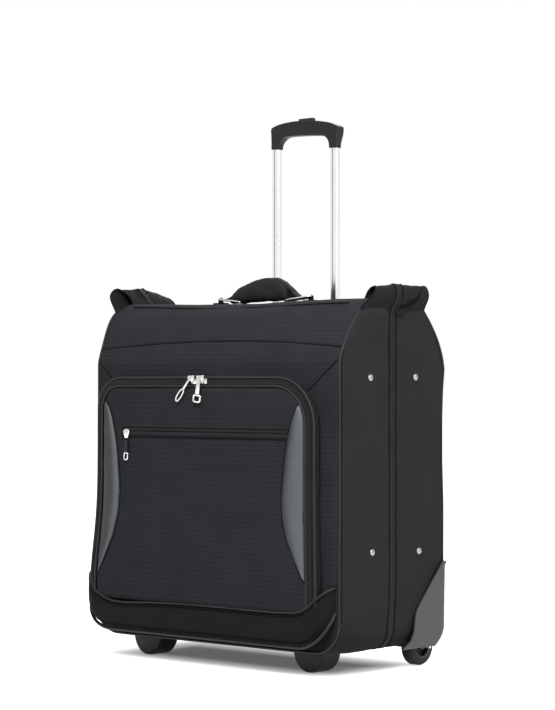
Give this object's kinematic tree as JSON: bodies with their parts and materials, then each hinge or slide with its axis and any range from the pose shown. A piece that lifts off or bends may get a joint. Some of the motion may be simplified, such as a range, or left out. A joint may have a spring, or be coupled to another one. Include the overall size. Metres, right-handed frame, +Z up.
{
  "type": "wheeled garment bag",
  "caption": "Soft-sided wheeled garment bag of two halves that fold open along the top, with a front zip pocket, carry handle, telescopic trolley handle, corner wheels and front feet.",
  "frame": {"origin": "on the floor, under the middle of the whole bag's box", "axes": "+Z up, -Y out of the front pocket, +X to the right of someone facing the pocket"},
  "size_m": [0.5874, 0.3218, 0.9562],
  "materials": {
    "black_cloth": "matt ribbed nylon",
    "black_piping": "smooth satin piping",
    "zip_tape": "woven zip tape with a coil",
    "grey_coated_panel": "satin coated cloth",
    "black_webbing": "woven webbing",
    "grey_moulded_guard": "finely textured moulding",
    "black_plastic": "matt moulding",
    "black_tyre": "matt rubber",
    "nickel": "nickel plated",
    "polished_aluminium": "polished extrusion",
    "steel": "plain",
    "lining_board": "plain sheet"
  },
  "bodies": {
    "rear_half": {"rear_shell": "black_cloth", "rear_zip_tape": "zip_tape", "ear_rear_left": "black_cloth", "ear_rear_right": "black_cloth", "rear_piping_left": "black_piping", "rear_piping_right": "black_piping", "fold_strip": "black_cloth", "back_board": "lining_board", "rear_hoop": "lining_board", "sleeve_left": "polished_aluminium", "sleeve_right": "polished_aluminium", "trolley_base": "black_plastic", "trolley_collar": "black_plastic", "guard_left": "grey_moulded_guard", "guard_right": "grey_moulded_guard", "axle_left": "steel", "axle_right": "steel", "handle_anchor_left": "black_webbing", "handle_anchor_right": "black_webbing", "hanger_bracket": "black_plastic", "garment_strap": "black_webbing"},
    "wheel_left": {"wheel_hub_left": "black_plastic", "tyre_left": "black_tyre"},
    "wheel_right": {"wheel_hub_right": "black_plastic", "tyre_right": "black_tyre"},
    "trolley": {"tube_left": "polished_aluminium", "tube_right": "polished_aluminium", "grip": "black_plastic"},
    "release_button": {"release_button": "black_plastic", "release_bar": "black_plastic"},
    "carry_handle": {"handle_pad": "black_cloth", "handle_strap": "black_webbing", "handle_ring_left": "nickel", "handle_ring_right": "nickel"},
    "front_half": {"front_shell": "black_cloth", "front_zip_tape": "zip_tape", "ear_front_left": "black_cloth", "ear_front_right": "black_cloth", "front_piping": "black_piping", "base_band": "black_cloth", "pocket_gusset": "black_cloth", "pocket_zip_outer": "zip_tape", "foot_left": "black_plastic", "foot_right": "black_plastic", "front_hoop": "lining_board"},
    "pocket_flap": {"pocket_panel": "black_cloth", "pocket_zip_inner": "zip_tape", "crescent_left": "grey_coated_panel", "crescent_right": "grey_coated_panel", "lower_zip": "zip_tape"},
    "slider_left": {"slider_left": "nickel"},
    "slider_right": {"slider_right": "nickel"},
    "lower_slider": {"lower_slider": "nickel"},
    "pull_left": {"pull_left": "nickel"},
    "pull_right": {"pull_right": "nickel"},
    "lower_pull": {"lower_pull": "nickel"},
    "main_slider_upper": {"main_slider_upper": "nickel"},
    "main_slider_lower": {"main_slider_lower": "nickel"},
    "main_pull_upper": {"main_pull_upper": "nickel"},
    "main_pull_lower": {"main_pull_lower": "nickel"}
  },
  "joints": [
    {"name": "front_open", "type": "hinge", "parent": "rear_half", "child": "front_half", "pos_m": [0, 0.01855, 0.6499], "axis": [-1, 0, 0], "range_deg": [0, 110]},
    {"name": "flap_open", "type": "hinge", "parent": "front_half", "child": "pocket_flap", "pos_m": [0, -0.15075, 0.1049], "axis": [1, 0, 0], "range_deg": [0, 85]},
    {"name": "trolley_slide", "type": "slide", "parent": "rear_half", "child": "trolley", "axis": [0, 0, 1], "range_m": [-0.29, 0]},
    {"name": "button_press", "type": "slide", "parent": "trolley", "child": "release_button", "axis": [0, 0, -1], "range_m": [0, 0.0035], "stiffness_N_per_m": 400},
    {"name": "wheel_left_spin", "type": "hinge", "parent": "rear_half", "child": "wheel_left", "pos_m": [-0.255, 0.11855, 0.033], "axis": [1, 0, 0], "continuous": true},
    {"name": "wheel_right_spin", "type": "hinge", "parent": "rear_half", "child": "wheel_right", "pos_m": [0.255, 0.11855, 0.033], "axis": [1, 0, 0], "continuous": true},
    {"name": "carry_tilt", "type": "hinge", "parent": "rear_half", "child": "carry_handle", "pos_m": [0, 0.01505, 0.6295], "axis": [-1, 0, 0], "range_deg": [-20, 20]},
    {"name": "slider_left_run", "type": "slide", "parent": "pocket_flap", "child": "slider_left", "axis": [1, 0, 0], "range_m": [-0.16, 0]},
    {"name": "slider_right_run", "type": "slide", "parent": "pocket_flap", "child": "slider_right", "axis": [1, 0, 0], "range_m": [0, 0.16]},
    {"name": "lower_slider_run", "type": "slide", "parent": "pocket_flap", "child": "lower_slider", "axis": [1, 0, 0], "range_m": [0, 0.34]},
    {"name": "pull_left_swing", "type": "hinge", "parent": "slider_left", "child": "pull_left", "pos_m": [-0.013, -0.15075, 0.48495], "axis": [0, 1, 0], "range_deg": [-25, 30]},
    {"name": "pull_right_swing", "type": "hinge", "parent": "slider_right", "child": "pull_right", "pos_m": [0.01, -0.15075, 0.48495], "axis": [0, 1, 0], "range_deg": [-50, 5]},
    {"name": "lower_pull_swing", "type": "hinge", "parent": "lower_slider", "child": "lower_pull", "pos_m": [-0.171, -0.15075, 0.3974], "axis": [0, 1, 0], "range_deg": [-60, 60]},
    {"name": "main_slider_upper_run", "type": "slide", "parent": "rear_half", "child": "main_slider_upper", "axis": [0, 0, 1], "range_m": [0, 0.17]},
    {"name": "main_slider_lower_run", "type": "slide", "parent": "rear_half", "child": "main_slider_lower", "axis": [0, 0, 1], "range_m": [-0.23, 0]},
    {"name": "main_pull_upper_swing", "type": "hinge", "parent": "main_slider_upper", "child": "main_pull_upper", "pos_m": [-0.28, 0.01855, 0.4], "axis": [1, 0, 0], "range_deg": [-80, 80]},
    {"name": "main_pull_lower_swing", "type": "hinge", "parent": "main_slider_lower", "child": "main_pull_lower", "pos_m": [-0.28, 0.01855, 0.34], "axis": [1, 0, 0], "range_deg": [-80, 80]}
  ]
}
